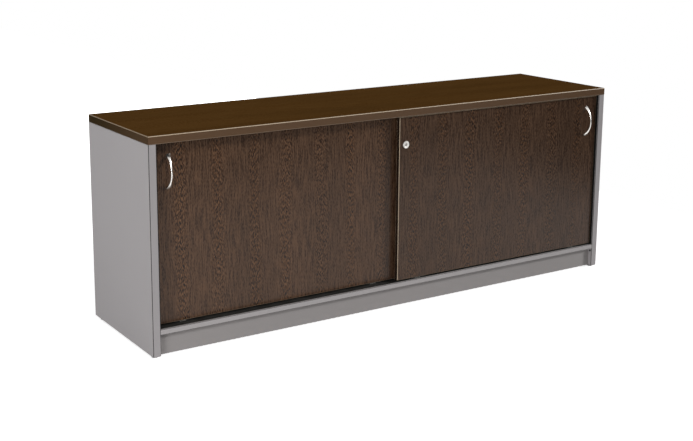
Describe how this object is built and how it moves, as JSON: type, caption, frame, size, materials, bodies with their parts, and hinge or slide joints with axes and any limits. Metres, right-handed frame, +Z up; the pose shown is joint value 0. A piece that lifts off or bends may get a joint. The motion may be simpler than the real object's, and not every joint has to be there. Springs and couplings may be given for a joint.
{
  "type": "office credenza",
  "caption": "Low office credenza with a panel carcass, a shelf in each bay and overlapping sliding doors on a twin track, with bow handles and a cam lock.",
  "frame": {"origin": "on the floor, under the middle of the overall box, which includes the front handle", "axes": "+X to the right along the front, +Y to the back, +Z up; the doors face -Y"},
  "size_m": [1.8, 0.468, 0.67],
  "materials": {
    "dark_top": "satin dark brown laminate, faint grain along its length",
    "dark_door": "satin dark brown wood-grain laminate, grain upright",
    "grey_board": "fine-textured mid grey melamine on board",
    "black_plastic": "satin black",
    "white_plastic": "natural nylon",
    "chrome": "satin chrome",
    "steel": "zinc-plated"
  },
  "bodies": {
    "carcass": {"back_panel": "grey_board", "bottom_panel": "grey_board", "bottom_track": "black_plastic", "centre_divider": "grey_board", "kickboard": "grey_board", "left_front_glide": "black_plastic", "left_rear_glide": "black_plastic", "left_shelf": "grey_board", "left_shelf_left_front_support": "steel", "left_shelf_left_rear_support": "steel", "left_shelf_right_front_support": "steel", "left_shelf_right_rear_support": "steel", "left_side_panel": "grey_board", "plinth_brace": "grey_board", "rear_plinth_rail": "grey_board", "right_front_glide": "black_plastic", "right_rear_glide": "black_plastic", "right_shelf": "grey_board", "right_shelf_left_front_support": "steel", "right_shelf_left_rear_support": "steel", "right_shelf_right_front_support": "steel", "right_shelf_right_rear_support": "steel", "right_side_panel": "grey_board", "top_panel": "dark_top", "top_track": "black_plastic"},
    "left_door": {"left_door_handle": "chrome", "left_door_handle_lower_screw": "steel", "left_door_handle_upper_screw": "steel", "left_door_inner_axle": "steel", "left_door_inner_guide_housing": "black_plastic", "left_door_inner_roller_housing": "black_plastic", "left_door_outer_axle": "steel", "left_door_outer_guide_housing": "black_plastic", "left_door_outer_roller_housing": "black_plastic", "left_door_panel": "dark_door", "lock_striker": "steel"},
    "left_door_outer_wheel": {"left_door_outer_wheel": "white_plastic"},
    "left_door_outer_guide": {"left_door_outer_guide": "white_plastic"},
    "left_door_inner_wheel": {"left_door_inner_wheel": "white_plastic"},
    "left_door_inner_guide": {"left_door_inner_guide": "white_plastic"},
    "right_door": {"lock_body": "chrome", "right_door_handle": "chrome", "right_door_handle_lower_screw": "steel", "right_door_handle_upper_screw": "steel", "right_door_inner_axle": "steel", "right_door_inner_guide_housing": "black_plastic", "right_door_inner_roller_housing": "black_plastic", "right_door_outer_axle": "steel", "right_door_outer_guide_housing": "black_plastic", "right_door_outer_roller_housing": "black_plastic", "right_door_panel": "dark_door"},
    "right_door_outer_wheel": {"right_door_outer_wheel": "white_plastic"},
    "right_door_outer_guide": {"right_door_outer_guide": "white_plastic"},
    "right_door_inner_wheel": {"right_door_inner_wheel": "white_plastic"},
    "right_door_inner_guide": {"right_door_inner_guide": "white_plastic"},
    "lock_core": {"lock_core": "chrome", "lock_cam": "steel", "lock_cam_screw": "steel"}
  },
  "joints": [
    {"name": "left_door_slide", "type": "slide", "parent": "carcass", "child": "left_door", "axis": [1, 0, 0], "range_m": [0, 0.805]},
    {"name": "right_door_slide", "type": "slide", "parent": "carcass", "child": "right_door", "axis": [1, 0, 0], "range_m": [-0.805, 0]},
    {"name": "left_door_outer_wheel_spin", "type": "hinge", "parent": "left_door", "child": "left_door_outer_wheel", "pos_m": [-0.782, -0.174, 0.09425], "axis": [0, 1, 0], "continuous": true},
    {"name": "left_door_inner_wheel_spin", "type": "hinge", "parent": "left_door", "child": "left_door_inner_wheel", "pos_m": [-0.0835, -0.174, 0.09425], "axis": [0, 1, 0], "continuous": true},
    {"name": "left_door_outer_guide_drop", "type": "slide", "parent": "left_door", "child": "left_door_outer_guide", "axis": [0, 0, 1], "range_m": [-0.0075, 0], "stiffness_N_per_m": 200, "springref_m": 0.004},
    {"name": "left_door_inner_guide_drop", "type": "slide", "parent": "left_door", "child": "left_door_inner_guide", "axis": [0, 0, 1], "range_m": [-0.0075, 0], "stiffness_N_per_m": 200, "springref_m": 0.004},
    {"name": "right_door_outer_wheel_spin", "type": "hinge", "parent": "right_door", "child": "right_door_outer_wheel", "pos_m": [0.782, -0.198, 0.09425], "axis": [0, 1, 0], "continuous": true},
    {"name": "right_door_inner_wheel_spin", "type": "hinge", "parent": "right_door", "child": "right_door_inner_wheel", "pos_m": [0.0835, -0.198, 0.09425], "axis": [0, 1, 0], "continuous": true},
    {"name": "right_door_outer_guide_drop", "type": "slide", "parent": "right_door", "child": "right_door_outer_guide", "axis": [0, 0, 1], "range_m": [-0.0075, 0], "stiffness_N_per_m": 200, "springref_m": 0.004},
    {"name": "right_door_inner_guide_drop", "type": "slide", "parent": "right_door", "child": "right_door_inner_guide", "axis": [0, 0, 1], "range_m": [-0.0075, 0], "stiffness_N_per_m": 200, "springref_m": 0.004},
    {"name": "lock_turn", "type": "hinge", "parent": "right_door", "child": "lock_core", "pos_m": [0.0185, -0.206, 0.5505], "axis": [0, -1, 0], "range_deg": [0, 90]}
  ],
  "couplings": [
    {"joint": "left_door_outer_wheel_spin", "follows": "left_door_slide", "rad_per_m": 76.923},
    {"joint": "left_door_inner_wheel_spin", "follows": "left_door_slide", "rad_per_m": 76.923},
    {"joint": "right_door_outer_wheel_spin", "follows": "right_door_slide", "rad_per_m": 76.923},
    {"joint": "right_door_inner_wheel_spin", "follows": "right_door_slide", "rad_per_m": 76.923}
  ]
}
